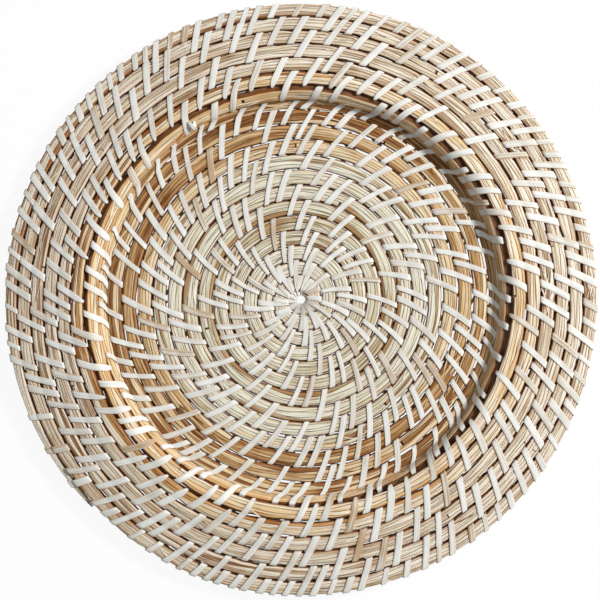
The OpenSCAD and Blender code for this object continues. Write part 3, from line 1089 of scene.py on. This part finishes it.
# How often the fibres change in a metre along a strip, in a metre across it, and from one to the
# next: fine lines, slow streaks and rare cracks
LINE_GRAIN = (45, 3600, 3.7)
STREAK_GRAIN = (16, 750, 5.1)
CRACK_GRAIN = (24, 2100, 9.3)
# Noise values that become 0 and 1
NOISE_RANGE = (0.3, 0.7)
CRACK_RANGE = (0.36, 0.29)


def fibre_group():
    """Fibre lines, slow streaks and cracks that run along a splint or strip."""
    tree = bpy.data.node_groups.new("fibre", "ShaderNodeTree")
    for name, kind in (("Grain", "NodeSocketVector"), ("Fineness", "NodeSocketFloat")):
        tree.interface.new_socket(name, in_out="INPUT", socket_type=kind)
    for name in ("Lines", "Streaks", "Cracks"):
        tree.interface.new_socket(name, in_out="OUTPUT", socket_type="NodeSocketFloat")
    make = Nodes(tree)
    inputs = make.add("NodeGroupInput")
    outputs = make.add("NodeGroupOutput")
    grain = inputs.outputs["Grain"]
    fineness = inputs.outputs["Fineness"]
    lines = make.noise(make.stretched(grain, LINE_GRAIN), fineness, detail=3, roughness=0.62)
    streaks = make.noise(make.stretched(grain, STREAK_GRAIN), 1, detail=2, roughness=0.5)
    cracks = make.noise(make.stretched(grain, CRACK_GRAIN), 1, detail=1, roughness=0.4)
    make.feed(outputs, {
        "Lines": make.spread(lines, *NOISE_RANGE),
        "Streaks": make.spread(streaks, *NOISE_RANGE),
        "Cracks": make.spread(cracks, *CRACK_RANGE),
    })
    return tree


# Colours of the painted shade deep between the coils, golden and then brown, and those of the painted
# shade on the strips, at their sides and beneath the coils; each brown also colours its material's cracks
PAINTED_SHADE_AMBER = (196, 118, 48)
CRACK_AND_SHADE_UMBER = (58, 21, 3)
STRIP_PAINTED_SHADE_AMBER = (206, 160, 112)
STRIP_CRACK_AND_SHADE_UMBER = (150, 110, 74)
# The share of golden in the painted shade, and where brown sets in and how fast
PAINTED_SHADE_AMBER_SHARE = 0.8
SHADE_UMBER_FROM = 0.5
SHADE_UMBER_GAIN = 1.9
# Patches across the plate: how many in a metre, and how much they change the tone
PATCH_SCALE = 70
PATCH_SHARE = 0.7
# How much more a dark line takes from red, green and blue, and the share that a light one doesn't
CANE_TINT = (1, 1.15, 1.5)
STRIP_TINT = (1, 1, 1)
LIGHT_LOSS = 2 / 3
# Roughness of the streaks around the finish's own, depth of the relief, and the gloss
ROUGH_BELOW = 0.06
ROUGH_ABOVE = 0.1
RELIEF_DEPTH = 0.12 * MM
GLOSS = 0.3


def cane_material(fibre, name, tones, fineness, line_share, streak_share, crack_share, rough, relief,
                  amber_shade=PAINTED_SHADE_AMBER, umber_crack_shade=CRACK_AND_SHADE_UMBER, tint=CANE_TINT):
    """Split cane: a tone for each splint, fibre lines, and painted shade that makes it darker and more
    golden deep between the coils.
    """
    material = bpy.data.materials.new(name)
    material.use_nodes = True
    make = Nodes(material.node_tree)
    shader = material.node_tree.nodes["Principled BSDF"]
    tone = make.add("ShaderNodeAttribute", attribute_name="tone").outputs["Fac"]
    painted_shade = make.add("ShaderNodeAttribute", attribute_name="painted_shade").outputs["Fac"]
    grain = make.add("ShaderNodeAttribute", attribute_name="grain").outputs["Vector"]
    group = make.feed(make.add("ShaderNodeGroup", node_tree=fibre), {"Grain": grain, "Fineness": fineness})
    lines = group.outputs["Lines"]
    streaks = group.outputs["Streaks"]
    cracks = group.outputs["Cracks"]
    # The tone drifts along a splint and across the plate
    place = make.add("ShaderNodeTexCoord").outputs["Object"]
    patches = make.noise(place, PATCH_SCALE, detail=2, roughness=0.5)
    streaky = make.math("MULTIPLY", make.math("SUBTRACT", streaks, 0.5), streak_share)
    patchy = make.math("MULTIPLY", make.math("SUBTRACT", patches, 0.5), PATCH_SHARE)
    drift = make.math("ADD", streaky, patchy)
    stops = [(k / (len(tones) - 1), linear(*colour)) for k, colour in enumerate(tones)]
    base = make.ramp(make.math("ADD", tone, drift, clamp=True), stops)
    # Dark lines are browner than the cane between them, and light ones whiter
    shades = make.add("ShaderNodeCombineColor")
    for channel, k in enumerate(tint):
        dark = 1 - line_share * k
        light = 1 + line_share * (k - LIGHT_LOSS)
        make.feed(shades, {channel: make.spread(lines, 0, 1, dark, light)})
    fibrous = make.mix(1, base, shades.outputs[0], "MULTIPLY")
    split = make.mix(make.math("MULTIPLY", cracks, crack_share), fibrous, linear(*umber_crack_shade))
    # Painted shade: golden and then brown where the painted-shade value is high, deep between the coils
    golden = make.mix(make.math("MULTIPLY", painted_shade, PAINTED_SHADE_AMBER_SHARE), split, linear(*amber_shade))
    painted_umber_share = make.math("MULTIPLY", make.math("SUBTRACT", painted_shade, SHADE_UMBER_FROM, clamp=True), SHADE_UMBER_GAIN)
    height = make.math("SUBTRACT", lines, make.math("MULTIPLY", cracks, 2 * crack_share))
    bump = make.add("ShaderNodeBump")
    make.feed(bump, {"Strength": relief, "Distance": RELIEF_DEPTH, "Height": height})
    make.feed(shader, {
        "Base Color": make.mix(painted_umber_share, golden, linear(*umber_crack_shade)),
        "Roughness": make.spread(streaks, 0, 1, rough - ROUGH_BELOW, rough + ROUGH_ABOVE),
        "Normal": bump.outputs[0],
        "Specular IOR Level": GLOSS,
    })
    return material


# Tones from the palest splint to the brownest, 0 to 255
CREAM = [(242, 240, 222), (232, 227, 203), (212, 203, 170), (172, 136, 92)]
TAN = [(242, 223, 186), (225, 196, 150), (195, 154, 101), (134, 85, 41)]
GOLDEN = [(244, 231, 205), (237, 209, 162), (217, 171, 112), (156, 97, 45)]
GREIGE = [(244, 235, 216), (232, 218, 193), (204, 181, 149), (146, 101, 61)]
PALE = [(238, 239, 234), (230, 231, 226), (220, 217, 207), (192, 166, 134)]
# By material slot: name, tones, fineness of the lines, shares of lines, streaks and cracks,
# roughness and relief, and for the strips their own colours of painted shade and cracks and the tint of
# their lines
FINISHES = {
    "cane_cream": ("split_cane_cream", CREAM, 1, 0.25, 0.45, 0.95, 0.62, 0.55),
    "cane_tan": ("split_cane_tan", TAN, 1, 0.28, 0.5, 0.95, 0.64, 0.6),
    "cane_golden": ("split_cane_golden", GOLDEN, 1, 0.26, 0.5, 0.9, 0.58, 0.55),
    "cane_greige": ("split_cane_greige", GREIGE, 1, 0.27, 0.8, 0.85, 0.62, 0.55),
    "lacing": ("peeled_cane_strip", PALE, 0.8, 0.14, 0.6, 0.2, 0.5, 0.3,
               STRIP_PAINTED_SHADE_AMBER, STRIP_CRACK_AND_SHADE_UMBER, STRIP_TINT),
}


# The studio

FRAME_WIDTH = 330.4 * MM
CENTRE_OFFSET = (-0.56 * MM, -0.28 * MM)
CAMERA_HEIGHT = 1.6
TABLE_SIZE = 4
TABLE_COLOUR = (0.9, 0.9, 0.9, 1)
# How much of the table the camera sees as plain white; the rest shows the plate's shadow
WHITE_SHARE = 0.93
WHITE = (1, 1, 1, 1)
# Colour of the room, and its light; the camera sees it at full strength
ROOM_COLOUR = (1, 0.985, 0.965, 1)
ROOM_LIGHT = 0.16
# Softboxes: name, azimuth and height in degrees, distance and size in metres, power in watts
LIGHTS = [
    ("key", 22, 38, 3, 0.5, 106),
    ("top", 100, 80, 1.4, 1.2, 3.2),
]


def make_table():
    """A white table that shows the plate's shadow."""
    bpy.ops.mesh.primitive_plane_add(size=TABLE_SIZE, location=(0, 0, 0))
    floor = bpy.context.active_object
    floor.name = "floor"
    material = bpy.data.materials.new("white_table")
    material.use_nodes = True
    make = Nodes(material.node_tree)
    material.node_tree.nodes.clear()
    table = make.feed(make.add("ShaderNodeBsdfDiffuse"), {"Color": TABLE_COLOUR})
    white = make.feed(make.add("ShaderNodeEmission"), {"Color": WHITE, "Strength": 1})
    path = make.add("ShaderNodeLightPath")
    seen = make.math("MAXIMUM", path.outputs["Is Camera Ray"], path.outputs["Is Glossy Ray"])
    seen = make.math("MAXIMUM", seen, path.outputs["Is Transmission Ray"])
    mix = make.add("ShaderNodeMixShader")
    make.feed(mix, {0: make.math("MULTIPLY", seen, WHITE_SHARE), 1: table.outputs[0], 2: white.outputs[0]})
    out = make.add("ShaderNodeOutputMaterial")
    make.join(mix.outputs[0], out.inputs[0])
    floor.data.materials.append(material)


def make_room():
    """Even light from all around."""
    world = bpy.data.worlds.new("studio")
    bpy.context.scene.world = world
    world.use_nodes = True
    make = Nodes(world.node_tree)
    back = world.node_tree.nodes["Background"]
    path = make.add("ShaderNodeLightPath")
    strength = make.spread(path.outputs["Is Camera Ray"], 0, 1, ROOM_LIGHT, 1)
    make.feed(back, {0: ROOM_COLOUR, 1: strength})


def add_light(name, azimuth, elevation, distance, size, power):
    """A square softbox that faces the plate from an azimuth and a height above the table."""
    data = bpy.data.lights.new(name, "AREA")
    data.size = size
    data.energy = power
    light = bpy.data.objects.new(name, data)
    bpy.context.collection.objects.link(light)
    across = distance * math.cos(math.radians(elevation))
    light.location = (across * math.cos(math.radians(azimuth)), across * math.sin(math.radians(azimuth)),
                      distance * math.sin(math.radians(elevation)))
    light.rotation_euler = (-light.location).to_track_quat("-Z", "Y").to_euler()


def add_camera():
    """A camera that looks straight down and sees the plate as wide as the photograph does."""
    camera = bpy.data.objects.new("camera", bpy.data.cameras.new("camera"))
    bpy.context.collection.objects.link(camera)
    camera.location = (CENTRE_OFFSET[0], CENTRE_OFFSET[1], CAMERA_HEIGHT)
    camera.data.sensor_fit = "HORIZONTAL"
    camera.data.angle = 2 * math.atan(FRAME_WIDTH / 2 / (CAMERA_HEIGHT - cad_box[1][2]))
    bpy.context.scene.camera = camera
    bpy.context.scene.view_settings.view_transform = "Standard"


fibre = fibre_group()
materials = {slot: cane_material(fibre, *finish) for slot, finish in FINISHES.items()}
make_bundle(materials)
make_lacing(materials["lacing"])
make_table()
make_room()
for light in LIGHTS:
    add_light(*light)
add_camera()
